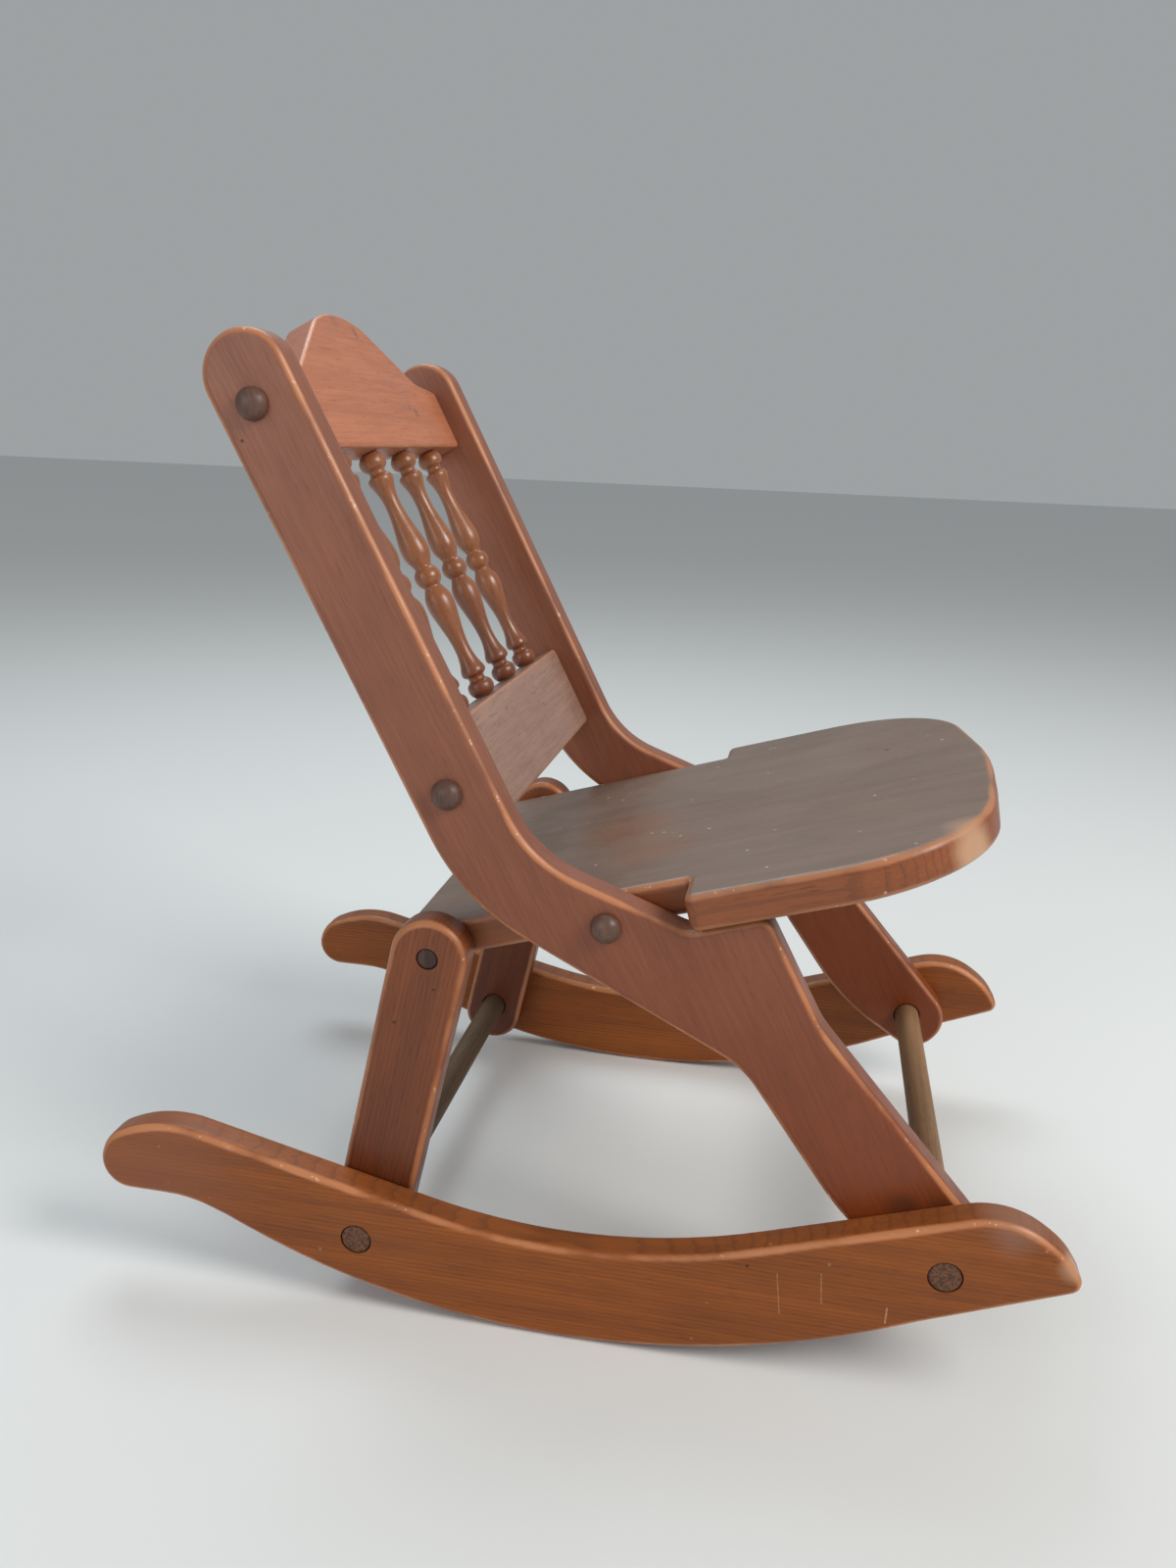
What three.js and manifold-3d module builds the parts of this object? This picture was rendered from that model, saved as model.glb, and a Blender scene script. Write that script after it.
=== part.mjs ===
// A child's folding rocking chair in stained hardwood, in millimetres, +Z up, front towards -Y.
// The origin is on the floor, under the middle of the chair's length and width.
// Side views are drawn with u forwards (-Y) and v up (+Z); boards are then given their place across X.
import * as THREE from 'three';
import Module from 'manifold-3d';
import { mergeVertices } from 'three/addons/utils/BufferGeometryUtils.js';

const wasm = await Module();
wasm.setup();

// ---- driving dimensions ----
const board = 19;                // thickness of every board, planed 3/4 inch stock
const halfWidth = 159.5;         // centre line to the outer face of a rocker
const gap = 0.3;                 // between pieces that touch
const easing = 3;                // softened edges of the boards
const smallEasing = 1.2;
const dowelRadius = 7.9;         // 5/8 inch dowel
const legClearance = 0.9;        // the legs turn freely on the dowels
const rockerRadius = 407;        // sweep of the rocker's underside
const facet = 4;                 // degrees of sweep for each flat of the underside
const rearDowel = [-106, 40.5];  // pivots, as [u, v]
const frontDowel = [188, 70];
const seatPivot = [15, 221];
const rearPivot = [-74, 194];
const backLean = 27.7;           // degrees that the stiles lean back
const stileCentre = 75.4;        // along the back's own forward axis
const stileWidth = 42;
const railCentre = 73.5;
const stileTop = 508.7;          // along the back's own upward axis, as are the next six
const crestBottom = 450.2;
const crestShoulder = 487.7;
const crestTop = 531.2;          // before its rounding
const lowerRail = [251.3, 305.3];
const crestScrewAt = 475;
const lowerScrewAt = 278;
const spindlePitch = 51;
const spindleCount = 4;
const tenon = 10;
const tenonRadius = 4.5;
const socketRoom = 1;            // left free under a tenon
const buttonRadius = 7.6;
const buttonRim = 0.6;           // straight side under a button's dome
const buttonDome = 6.4;
const stemRadius = 6;
const stemLength = 4.5;
const plugRadius = 5.4;
const plugLength = 4.4;
const plugSunk = 0.2;            // how far a plug's face lies below the board's
const counterbore = 8;
const shankRadius = 2.1;
const headRadius = 4.2;
const headRim = 2.2;             // height of a screw head's side
const headHeight = 2.6;
const headFlat = 3;              // radius of its flat top
const screwTip = 3;              // length of the point
const tipRoom = 2;               // left free beyond it
const screwReach = 25;           // how far a screw goes into end grain
const past = 5;                  // how far a cutting shape runs past a face
const legWidth = 40;
const legFoot = 27;              // the rear leg runs this far below its dowel
const seatWide = 147.5;
const seatFront = 199;           // seat lengths are measured forwards from its pivot
const seatCorner = 183;
const seatNotch = 40.7;
const seatRear = -112;
const seatLift = 1.2;            // its middle lies this far above its pivots

// ---- places across the width ----
const rockerInner = halfWidth - board;
const frameOuter = rockerInner - gap;
const frameInner = frameOuter - board;
const railHalf = frameInner - gap;
const seatHalf = frameInner - 1;

// ---- small tools ----
const radians = THREE.MathUtils.degToRad;
const lean = radians(backLean);
const seatSlope = Math.atan2(seatPivot[1] - rearPivot[1], seatPivot[0] - rearPivot[0]);

// Points of a closed outline. Each corner is [a, b, radius], and a radius above 0 rounds it.
function rounded(corners) {
  const points = [];
  corners.forEach(([a, b, radius = 0], i) => {
    const here = new THREE.Vector2(a, b);
    const before = corners[(i + corners.length - 1) % corners.length];
    const after = corners[(i + 1) % corners.length];
    const back = new THREE.Vector2(before[0], before[1]).sub(here).normalize();
    const on = new THREE.Vector2(after[0], after[1]).sub(here).normalize();
    const angle = Math.acos(THREE.MathUtils.clamp(back.dot(on), -1, 1));
    if (radius === 0 || Math.PI - angle < 0.001) {
      points.push(here);
      return;
    }
    const middle = back.clone().add(on).normalize();
    const centre = here.clone().addScaledVector(middle, radius / Math.sin(angle / 2));
    const tangent = radius / Math.tan(angle / 2);
    const start = here.clone().addScaledVector(back, tangent).sub(centre);
    const end = here.clone().addScaledVector(on, tangent).sub(centre);
    let turn = end.angle() - start.angle();
    if (turn > Math.PI) turn -= 2 * Math.PI;
    if (turn < -Math.PI) turn += 2 * Math.PI;
    const flatness = 0.35;
    const steps = Math.max(2, Math.ceil(Math.abs(turn) / (2 * Math.acos(1 - flatness / radius))));
    for (let k = 0; k <= steps; k += 1) {
      points.push(start.clone().rotateAround(new THREE.Vector2(), (turn * k) / steps).add(centre));
    }
  });
  // Two roundings that meet leave one point, not two.
  return points.filter((point, i) => point.distanceTo(points[(i + 1) % points.length]) > 0.5);
}

// A board from its outline: depth runs from 0 up, with softened edges.
function plank(points, thickness, ease) {
  const geometry = new THREE.ExtrudeGeometry(new THREE.Shape(points), {
    depth: thickness - 2 * ease,
    bevelEnabled: true,
    bevelThickness: ease,
    bevelSize: ease,
    bevelOffset: -ease,
    bevelSegments: 1,
    curveSegments: 1,
  });
  return geometry.translate(0, 0, ease);
}

const sideView = new THREE.Matrix4().makeBasis(
  new THREE.Vector3(0, -1, 0), new THREE.Vector3(0, 0, 1), new THREE.Vector3(-1, 0, 0));
const backView = new THREE.Matrix4().makeBasis(
  new THREE.Vector3(1, 0, 0),
  new THREE.Vector3(0, Math.sin(lean), Math.cos(lean)),
  new THREE.Vector3(0, -Math.cos(lean), Math.sin(lean)));
const seatView = new THREE.Matrix4().makeBasis(
  new THREE.Vector3(1, 0, 0),
  new THREE.Vector3(0, -Math.cos(seatSlope), Math.sin(seatSlope)),
  new THREE.Vector3(0, -Math.sin(seatSlope), -Math.cos(seatSlope)));

// A board drawn in side view, standing between two places across the width.
function sideBoard(corners, low, high) {
  const geometry = plank(rounded(corners), high - low, easing);
  return geometry.applyMatrix4(sideView).translate(high, 0, 0);
}

// Turned shape on the X axis, from [x, radius] pairs.
function turned(profile, sides) {
  const points = profile.map(([x, radius]) => new THREE.Vector2(radius, x));
  return new THREE.LatheGeometry(points, sides).rotateZ(-Math.PI / 2);
}

function rod(radius, low, high, sides) {
  return turned([[low, 0], [low, radius], [high, radius], [high, 0]], sides);
}

function atSide(geometry, [u, v]) {
  return geometry.translate(0, -u, v);
}

function toSolid(geometry) {
  const bare = geometry.clone();
  bare.deleteAttribute('normal');
  bare.deleteAttribute('uv');
  const merged = mergeVertices(bare, 1e-3);
  const index = merged.index.array;
  const triangles = [];
  for (let i = 0; i < index.length; i += 3) {
    const [a, b, c] = [index[i], index[i + 1], index[i + 2]];
    if (a !== b && b !== c && c !== a) triangles.push(a, b, c);
  }
  return new wasm.Manifold(new wasm.Mesh({
    numProp: 3,
    vertProperties: new Float32Array(merged.attributes.position.array),
    triVerts: new Uint32Array(triangles),
  }));
}

function cut(geometry, tools) {
  let solid = toSolid(geometry);
  for (const tool of tools) solid = solid.subtract(toSolid(tool));
  const mesh = solid.getMesh();
  const result = new THREE.BufferGeometry();
  result.setAttribute('position', new THREE.BufferAttribute(mesh.vertProperties, 3));
  result.setIndex(new THREE.BufferAttribute(mesh.triVerts, 1));
  return result;
}

// A place on the back, c forwards and s upwards in the back's own axes, as [u, v].
function onBack(c, s) {
  return [
    c * Math.cos(lean) - s * Math.sin(lean),
    c * Math.sin(lean) + s * Math.cos(lean),
  ];
}

// ---- finishes ----
function wood(color, roughness) {
  return new THREE.MeshStandardMaterial({ color, roughness, metalness: 0 });
}
const boardWood = wood(0x8a5640, 0.45);
const rockerWood = wood(0x96562f, 0.42);
const seatWood = wood(0x7a5c50, 0.4);
const railWood = wood(0xa06a4e, 0.5);
const turnedWood = wood(0x9a6440, 0.32);
const dowelWood = wood(0x9c7a58, 0.6);
const buttonWood = wood(0x5f4a41, 0.5);
const steel = new THREE.MeshStandardMaterial({ color: 0x8d8b86, roughness: 0.4, metalness: 1 });

const chair = new THREE.Group();
chair.name = 'folding_rocking_chair';

function add(name, geometry, material, group = chair) {
  const mesh = new THREE.Mesh(geometry, material);
  mesh.name = name;
  group.add(mesh);
}

// ---- outlines in side view ----
function rockerOutline() {
  const underside = [];
  const centreHeight = rockerRadius * Math.cos(radians(facet / 2));
  const end = 6.5 * facet;
  for (let angle = -end; angle <= end; angle += facet) {
    underside.push([
      rockerRadius * Math.sin(radians(angle)),
      centreHeight - rockerRadius * Math.cos(radians(angle)),
    ]);
  }
  return [
    ...underside,
    [252.4, 72.2, 6], [241.9, 88.9, 38], [215.1, 107.8, 41],   // nose
    [16.5, 41.3, 314],                                // waist
    [-214.8, 94.5, 62], [-245.2, 80.3, 20], [-256.4, 49.5, 16],   // tail
    [-199, 49.3, 70],
  ];
}

function frameOutline() {
  const frontTop = onBack(stileCentre + stileWidth / 2, stileTop);
  const rearTop = onBack(stileCentre - stileWidth / 2, stileTop);
  const roundTop = stileWidth / 2;
  return [
    [...frontTop, roundTop], [...rearTop, roundTop],
    [-57.1, 225.6, 110],                              // bend from stile to seat rail
    [84.6, 154.7, 50], [143.2, 74, 140],              // crotch and rear of the leg
    [196.9, 40.8, 18.5], [219.6, 68.5, 21.5],         // foot round the front dowel
    [121, 180, 60], [91.5, 234.2, 8],                 // knee, where the seat rests
    [54, 222.7, 10], [-22.7, 250.8, 62],
  ];
}

function rearLegOutline() {
  const span = Math.hypot(rearDowel[0] - rearPivot[0], rearDowel[1] - rearPivot[1]);
  const down = [(rearDowel[0] - rearPivot[0]) / span, (rearDowel[1] - rearPivot[1]) / span];
  const across = [-down[1], down[0]];
  const half = legWidth / 2;
  const corner = (along, side) => [
    rearPivot[0] + down[0] * along + across[0] * side,
    rearPivot[1] + down[1] * along + across[1] * side,
    half,
  ];
  return [
    corner(-half, half), corner(-half, -half),
    corner(span + legFoot, -half), corner(span + legFoot, half),
  ];
}

function seatOutline() {
  return [
    [-seatWide, seatNotch], [-seatHalf, seatNotch],
    [-seatHalf, seatRear, 4], [seatHalf, seatRear, 4],
    [seatHalf, seatNotch], [seatWide, seatNotch],
    [seatWide, seatCorner, 78], [0, seatFront, 300], [-seatWide, seatCorner, 78],
  ];
}

function crestOutline() {
  return [
    [-railHalf, crestBottom], [railHalf, crestBottom], [railHalf, crestShoulder, 2],
    [87.7, 491.9, 25], [33.5, 522.4, 42.3], [0, crestTop, 103],
    [-33.5, 522.4, 42.3], [-87.7, 491.9, 25], [-railHalf, crestShoulder, 2],
  ];
}

function lowerRailOutline() {
  const [low, high] = lowerRail;
  return [[-railHalf, low, 2], [railHalf, low, 2], [railHalf, high, 3], [-railHalf, high, 3]];
}

// ---- pieces that the sides share ----
const sides = { right: -1, left: 1 };
const dowelSides = 24;
const boreSides = 16;
const screwSides = 12;
const buttonSides = 20;

// A shape turned for the left side, carried to its place on either side.
function onSide(shape, side, place) {
  return atSide(side < 0 ? shape.rotateY(Math.PI) : shape, place);
}

function dowelHole(clearance, place) {
  const reach = halfWidth + past;
  return atSide(rod(dowelRadius + clearance, -reach, reach, dowelSides), place);
}

// The stepped hole for a screw and the button or plug over it, through a side board.
function screwHole(side, place, capRadius) {
  const bore = turned([
    [frameInner - past, 0], [frameInner - past, shankRadius + gap],
    [frameOuter - counterbore, shankRadius + gap], [frameOuter - counterbore, capRadius + gap],
    [frameOuter + past, capRadius + gap], [frameOuter + past, 0],
  ], boreSides);
  return onSide(bore, side, place);
}

function pilotHole(side, place) {
  const bottom = frameInner - screwReach - tipRoom;
  return onSide(rod(shankRadius + gap, bottom, frameInner + past, screwSides), side, place);
}

function screw(side, place, tip) {
  const head = frameOuter - counterbore + gap;
  const shape = turned([
    [tip, 0], [tip + screwTip, shankRadius], [head, shankRadius],
    [head, headRadius], [head + headRim, headRadius],
    [head + headHeight, headFlat], [head + headHeight, 0],
  ], screwSides);
  return onSide(shape, side, place);
}

function button(side, place) {
  const foot = frameOuter + gap;
  const rim = foot + buttonRim;
  const profile = [
    [foot - stemLength, 0], [foot - stemLength, stemRadius],
    [foot, stemRadius], [foot, buttonRadius],
  ];
  for (const angle of [0, 22, 45, 68]) {
    const t = radians(angle);
    profile.push([rim + buttonDome * Math.sin(t), buttonRadius * Math.cos(t)]);
  }
  profile.push([rim + buttonDome, 0]);
  return onSide(turned(profile, buttonSides), side, place);
}

function plug(side, place) {
  const face = frameOuter - plugSunk;
  return onSide(rod(plugRadius, face - plugLength, face, buttonSides), side, place);
}

// ---- spindle: one half from the middle ring outwards, as [distance from the ring, radius] ----
const spindleHalf = [
  [2.2, 7.1], [4.2, 6], [5.6, 4.6], [7.5, 5.4], [12, 7.6], [18, 7.9], [26, 6.4], [36, 4.6],
  [45, 4.2], [52, 5.4], [56.5, 7], [59, 6.8], [60.5, 4.4], [62.5, 4.4], [65, 7], [68, 7.4],
];
const ringRadius = 7.4;
const collarRadius = 5.4;        // where the spindle meets a rail
const spindleSides = 14;

function spindle(x) {
  const low = lowerRail[1] + gap;
  const high = crestBottom - gap;
  const middle = (low + high) / 2;
  const reach = (high - low) / 2;
  const half = [
    ...spindleHalf, [reach, collarRadius], [reach, tenonRadius], [reach + tenon, tenonRadius],
  ];
  const profile = [
    [-(reach + tenon), 0],
    ...half.map(([along, radius]) => [-along, radius]).reverse(),
    [0, ringRadius],
    ...half,
    [reach + tenon, 0],
  ].map(([along, radius]) => new THREE.Vector2(radius, along));
  const geometry = new THREE.LatheGeometry(profile, spindleSides);
  return geometry.translate(x, middle, railCentre).applyMatrix4(backView);
}

function spindlePlaces() {
  const places = [];
  for (let i = 0; i < spindleCount; i += 1) places.push((i - (spindleCount - 1) / 2) * spindlePitch);
  return places;
}

function sockets(face, direction) {
  return spindlePlaces().map((x) => {
    const depth = tenon + socketRoom;
    const radius = tenonRadius + gap;
    const hole = new THREE.CylinderGeometry(radius, radius, depth + past, boreSides);
    const centre = face + direction * (depth - past) / 2;
    return hole.translate(x, centre, railCentre).applyMatrix4(backView);
  });
}

function rail(corners, tools) {
  const geometry = plank(rounded(corners), board, smallEasing);
  geometry.translate(0, 0, railCentre - board / 2).applyMatrix4(backView);
  return cut(geometry, tools);
}

// ---- places for the screws ----
const crestScrew = onBack(railCentre, crestScrewAt);
const lowerScrew = onBack(railCentre, lowerScrewAt);

// ---- rockers and dowels ----
for (const [name, side] of Object.entries(sides)) {
  const low = side < 0 ? -halfWidth : rockerInner;
  const blank = sideBoard(rockerOutline(), low, low + board);
  const holes = [dowelHole(gap, rearDowel), dowelHole(gap, frontDowel)];
  add(`rocker_${name}`, cut(blank, holes), rockerWood);
}
for (const [name, place] of Object.entries({ rear_dowel: rearDowel, front_dowel: frontDowel })) {
  add(name, atSide(rod(dowelRadius, -halfWidth, halfWidth, dowelSides), place), dowelWood);
}

// ---- side frames, each stile, seat rail and front leg in one board ----
for (const [name, side] of Object.entries(sides)) {
  const low = side < 0 ? -frameOuter : frameInner;
  const blank = sideBoard(frameOutline(), low, low + board);
  add(`side_frame_${name}`, cut(blank, [
    dowelHole(legClearance, frontDowel),
    screwHole(side, crestScrew, stemRadius),
    screwHole(side, lowerScrew, stemRadius),
    screwHole(side, seatPivot, stemRadius),
  ]), boardWood);
}

// ---- rear legs ----
for (const [name, side] of Object.entries(sides)) {
  const low = side < 0 ? -frameOuter : frameInner;
  const blank = sideBoard(rearLegOutline(), low, low + board);
  add(`rear_leg_${name}`, cut(blank, [
    dowelHole(legClearance, rearDowel),
    screwHole(side, rearPivot, plugRadius),
  ]), boardWood);
}

// ---- seat ----
const seatBlank = plank(rounded(seatOutline()), board, easing);
seatBlank.translate(0, 0, -board / 2 - seatLift).applyMatrix4(seatView);
atSide(seatBlank, seatPivot);
add('seat_board', cut(seatBlank, Object.values(sides).map((side) => pilotHole(side, seatPivot))),
  seatWood);

// ---- back rails and spindles ----
const railHoles = (place) => Object.values(sides).map((side) => pilotHole(side, place));
add('crest_rail', rail(crestOutline(), [...railHoles(crestScrew), ...sockets(crestBottom, 1)]),
  railWood);
add('lower_back_rail',
  rail(lowerRailOutline(), [...railHoles(lowerScrew), ...sockets(lowerRail[1], -1)]), railWood);
spindlePlaces().forEach((x, i) => add(`spindle_${i + 1}`, spindle(x), turnedWood));

// ---- screws with their buttons and plugs ----
const intoWood = frameInner - screwReach;
for (const [name, side] of Object.entries(sides)) {
  add(`crest_screw_${name}`, screw(side, crestScrew, intoWood), steel);
  add(`lower_rail_screw_${name}`, screw(side, lowerScrew, intoWood), steel);
  add(`seat_pivot_screw_${name}`, screw(side, seatPivot, intoWood), steel);
  add(`rear_pivot_screw_${name}`, screw(side, rearPivot, frameInner + gap), steel);
  add(`crest_button_${name}`, button(side, crestScrew), buttonWood);
  add(`lower_rail_button_${name}`, button(side, lowerScrew), buttonWood);
  add(`seat_pivot_button_${name}`, button(side, seatPivot), buttonWood);
  add(`rear_pivot_plug_${name}`, plug(side, rearPivot), buttonWood);
}

export default chair;
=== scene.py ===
"""Looks of a child's folding rocking chair in stained hardwood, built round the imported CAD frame.

Row frame in metres: X across (the sitter's right is -X), the front faces -Y, Z up.
Outlines are in millimetres, as in the CAD source. Side views have u forwards (-Y) and v up (+Z).
"""

import math

import bpy
import numpy as np
from mathutils import Matrix, Quaternion, Vector, noise


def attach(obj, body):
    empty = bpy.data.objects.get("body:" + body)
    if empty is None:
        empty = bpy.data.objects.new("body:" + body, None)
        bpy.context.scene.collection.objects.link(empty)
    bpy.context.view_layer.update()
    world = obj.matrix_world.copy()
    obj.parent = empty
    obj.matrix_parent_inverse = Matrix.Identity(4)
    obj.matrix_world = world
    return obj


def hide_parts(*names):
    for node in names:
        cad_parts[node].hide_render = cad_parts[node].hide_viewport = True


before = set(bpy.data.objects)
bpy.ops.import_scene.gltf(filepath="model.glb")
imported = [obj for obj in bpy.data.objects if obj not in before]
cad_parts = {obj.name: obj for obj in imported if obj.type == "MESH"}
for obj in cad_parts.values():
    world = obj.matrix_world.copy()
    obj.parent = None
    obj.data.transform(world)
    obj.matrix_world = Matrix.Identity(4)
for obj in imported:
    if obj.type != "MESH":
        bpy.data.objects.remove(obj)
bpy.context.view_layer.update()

MM = 0.001
ORIGIN = Vector((0, 0, 0))

# ---- driving dimensions, in millimetres ----
BOARD = 19.0
ROCKER_INNER = 140.5
FRAME_INNER = 121.2
RAIL_HALF = 120.9
SEAT_HALF = 120.2
ROCKER_RADIUS = 407.0
REAR_DOWEL = (-106.0, 40.5)
FRONT_DOWEL = (188.0, 70.0)
SEAT_PIVOT = (15.0, 221.0)
REAR_PIVOT = (-74.0, 194.0)
BACK_LEAN = math.radians(27.7)
SEAT_SLOPE = math.atan2(SEAT_PIVOT[1] - REAR_PIVOT[1], SEAT_PIVOT[0] - REAR_PIVOT[0])
STILE_CENTRE = 75.4
STILE_HALF = 21.0
STILE_TOP = 508.7
RAIL_CENTRE = 73.5
CREST_BOTTOM = 450.2
CREST_SHOULDER = 487.7
CREST_TOP = 531.2
LOWER_RAIL = (251.3, 305.3)
CREST_SCREW = 475.0
LOWER_SCREW = 278.0
SPINDLE_PITCH = 51.0
SPINDLES = 4
DOWEL_RADIUS = 7.9
DOWEL_CHAMFER = (0.7, 0.8)      # along the dowel and across it
BUTTON_RADIUS = 7.6
PLUG_RADIUS = 5.4
SEAT_WIDE = 147.5
SEAT_LIFT = 1.2                 # the seat board's middle above the line of its pivots

ROCKER_FACE = ROCKER_INNER + BOARD
FRAME_FACE = FRAME_INNER + BOARD

# how far each board's edges are rounded over
ROCKER_EASE = 4.5
FRAME_EASE = 4.0
LEG_EASE = 4.5
SEAT_EASE = 4.5
RAIL_EASE = 2.2

# room round what goes through a board
GLUED_ROOM = 0.45
TURNING_ROOM = 0.9
PLUG_ROOM = 0.3
PLUG_HOLE_DEPTH = 8
PAST = 5                        # how far a cutter reaches beyond the face that it opens

SIDES = {"right": -1, "left": 1}


# ---------------------------------------------------------------- outlines
def on_back(c, s):
    """A place on the back, c forwards and s up in the back's own axes, as (u, v)."""
    return (c * math.cos(BACK_LEAN) - s * math.sin(BACK_LEAN),
            c * math.sin(BACK_LEAN) + s * math.cos(BACK_LEAN))


def rounded(corners, flatness=0.04):
    """Points of a closed outline. Each corner is (a, b) or (a, b, radius)."""
    points = []
    count = len(corners)
    for i, corner in enumerate(corners):
        here = Vector(corner[:2])
        radius = corner[2] if len(corner) > 2 else 0
        back = (Vector(corners[i - 1][:2]) - here).normalized()
        on = (Vector(corners[(i + 1) % count][:2]) - here).normalized()
        angle = back.angle(on)
        if radius == 0 or math.pi - angle < 0.001:
            points.append(here)
            continue
        centre = here + (back + on).normalized() * radius / math.sin(angle / 2)
        tangent = radius / math.tan(angle / 2)
        start = here + back * tangent - centre
        turn = start.angle_signed(here + on * tangent - centre)
        steps = max(3, math.ceil(abs(turn) / (2 * math.acos(1 - flatness / radius))))
        for k in range(steps + 1):
            points.append(centre + Matrix.Rotation(-turn * k / steps, 2) @ start)
    return points


def spaced(points, spacing=1.6):
    """The same closed outline with points at nearly even distances."""
    closed = points + [points[0]]
    lengths = [(b - a).length for a, b in zip(closed, closed[1:])]
    along = np.concatenate([[0], np.cumsum(lengths)])
    places = np.linspace(0, along[-1], round(along[-1] / spacing), endpoint=False)
    a = np.interp(places, along, [p.x for p in closed])
    b = np.interp(places, along, [p.y for p in closed])
    return np.stack([a, b], axis=1)


def inset(points, distance):
    """The outline moved inwards by a distance, its points in counterclockwise order."""
    ahead = np.roll(points, -1, axis=0) - points
    ahead /= np.linalg.norm(ahead, axis=1)[:, None]
    behind = np.roll(ahead, 1, axis=0)
    normals = np.stack([-ahead[:, 1], ahead[:, 0]], axis=1)
    before = np.stack([-behind[:, 1], behind[:, 0]], axis=1)
    mitre = normals + before
    mitre /= 1 + np.sum(normals * before, axis=1)[:, None]
    return points + mitre * distance


def rocker_outline():
    half_sweep = 26
    underside = []
    for angle in range(-half_sweep, half_sweep + 1):
        turn = math.radians(angle)
        underside.append((ROCKER_RADIUS * math.sin(turn), ROCKER_RADIUS * (1 - math.cos(turn))))
    return [
        *underside,
        (252.4, 72.2, 6), (241.9, 88.9, 38), (215.1, 107.8, 41),
        (16.5, 41.3, 314),
        (-214.8, 94.5, 62), (-245.2, 80.3, 20), (-256.4, 49.5, 16),
        (-199, 49.3, 70),
    ]


def frame_outline():
    return [
        (*on_back(STILE_CENTRE + STILE_HALF, STILE_TOP), STILE_HALF),
        (*on_back(STILE_CENTRE - STILE_HALF, STILE_TOP), STILE_HALF),
        (-57.1, 225.6, 110),
        (84.6, 154.7, 50), (143.2, 74, 140),
        (196.9, 40.8, 18.5), (219.6, 68.5, 21.5),
        (121, 180, 60), (91.5, 234.2, 8),
        (54, 222.7, 10), (-22.7, 250.8, 62),
    ]


def rear_leg_outline():
    top, foot = Vector(REAR_PIVOT), Vector(REAR_DOWEL)
    down = (foot - top).normalized()
    across = Vector((-down.y, down.x))
    half, below = 20, 27
    ends = [(top - down * half, 1), (top - down * half, -1),
            (foot + down * below, -1), (foot + down * below, 1)]
    return [(*(end + across * half * side), half) for end, side in ends]


def seat_outline():
    front, corner, notch, rear = 199, 183, 40.7, -112
    return [
        (-SEAT_WIDE, notch, 5), (-SEAT_HALF, notch, 2),
        (-SEAT_HALF, rear, 5), (SEAT_HALF, rear, 5),
        (SEAT_HALF, notch, 2), (SEAT_WIDE, notch, 5),
        (SEAT_WIDE, corner, 78), (0, front, 300), (-SEAT_WIDE, corner, 78),
    ]


def crest_outline():
    return [
        (-RAIL_HALF, CREST_BOTTOM, 2.5), (RAIL_HALF, CREST_BOTTOM, 2.5), (RAIL_HALF, CREST_SHOULDER, 3),
        (87.7, 491.9, 25), (33.5, 522.4, 42.3), (0, CREST_TOP, 103),
        (-33.5, 522.4, 42.3), (-87.7, 491.9, 25), (-RAIL_HALF, CREST_SHOULDER, 3),
    ]


def lower_rail_outline():
    low, high = LOWER_RAIL
    return [(-RAIL_HALF, low, 3), (RAIL_HALF, low, 3), (RAIL_HALF, high, 3), (-RAIL_HALF, high, 3)]


# ---------------------------------------------------------------- places
def basis(a, b, c, origin=ORIGIN):
    """Millimetres along axes a, b and c, from an origin in metres, to the row frame."""
    turn = Matrix((a, b, c)).transposed().to_4x4()
    return Matrix.Translation(origin) @ turn @ Matrix.Scale(MM, 4)


def side_view(x):
    """u and v, with depth towards -X from the plane at x."""
    return basis((0, -1, 0), UP, (-1, 0, 0), Vector((x * MM, 0, 0)))


def at_side(u, v):
    """A place in side view, in the middle plane of the chair."""
    return Vector((0, -u, v)) * MM


def across(u, v, side=1):
    """Millimetres along X outwards from the middle of the chair, at a place in side view."""
    return basis((0, 1, 0), (0, 0, side), (side, 0, 0), at_side(u, v))


def left_face(inner, side):
    """The X of the +X face of a side board, from the distance of its inner face."""
    return inner + BOARD if side > 0 else -inner


UP = (0, 0, 1)
ACROSS = (1, 0, 0)
STILE_WAY = (0, math.sin(BACK_LEAN), math.cos(BACK_LEAN))
BACK_NORMAL = (0, -math.cos(BACK_LEAN), math.sin(BACK_LEAN))
SEAT_WAY = (0, -math.cos(SEAT_SLOPE), math.sin(SEAT_SLOPE))
SEAT_NORMAL = (0, math.sin(SEAT_SLOPE), math.cos(SEAT_SLOPE))
LEG_WAY = (0, REAR_DOWEL[0] - REAR_PIVOT[0], REAR_PIVOT[1] - REAR_DOWEL[1])

BACK_VIEW = basis(ACROSS, STILE_WAY, BACK_NORMAL)
SEAT_VIEW = basis(ACROSS, SEAT_WAY, [-value for value in SEAT_NORMAL], at_side(*SEAT_PIVOT))


# ---------------------------------------------------------------- meshes
def new_object(name, vertices, faces):
    mesh = bpy.data.meshes.new(name)
    mesh.from_pydata([tuple(v) for v in vertices], [], faces)
    mesh.update()
    piece = bpy.data.objects.new(name, mesh)
    bpy.context.scene.collection.objects.link(piece)
    return piece


def bake_modifiers(piece):
    """The piece's own mesh becomes what its modifiers make of it."""
    bpy.context.view_layer.update()
    evaluated = piece.evaluated_get(bpy.context.evaluated_depsgraph_get())
    mesh = bpy.data.meshes.new_from_object(evaluated)
    mesh.name = piece.name
    piece.modifiers.clear()
    piece.data = mesh


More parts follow.
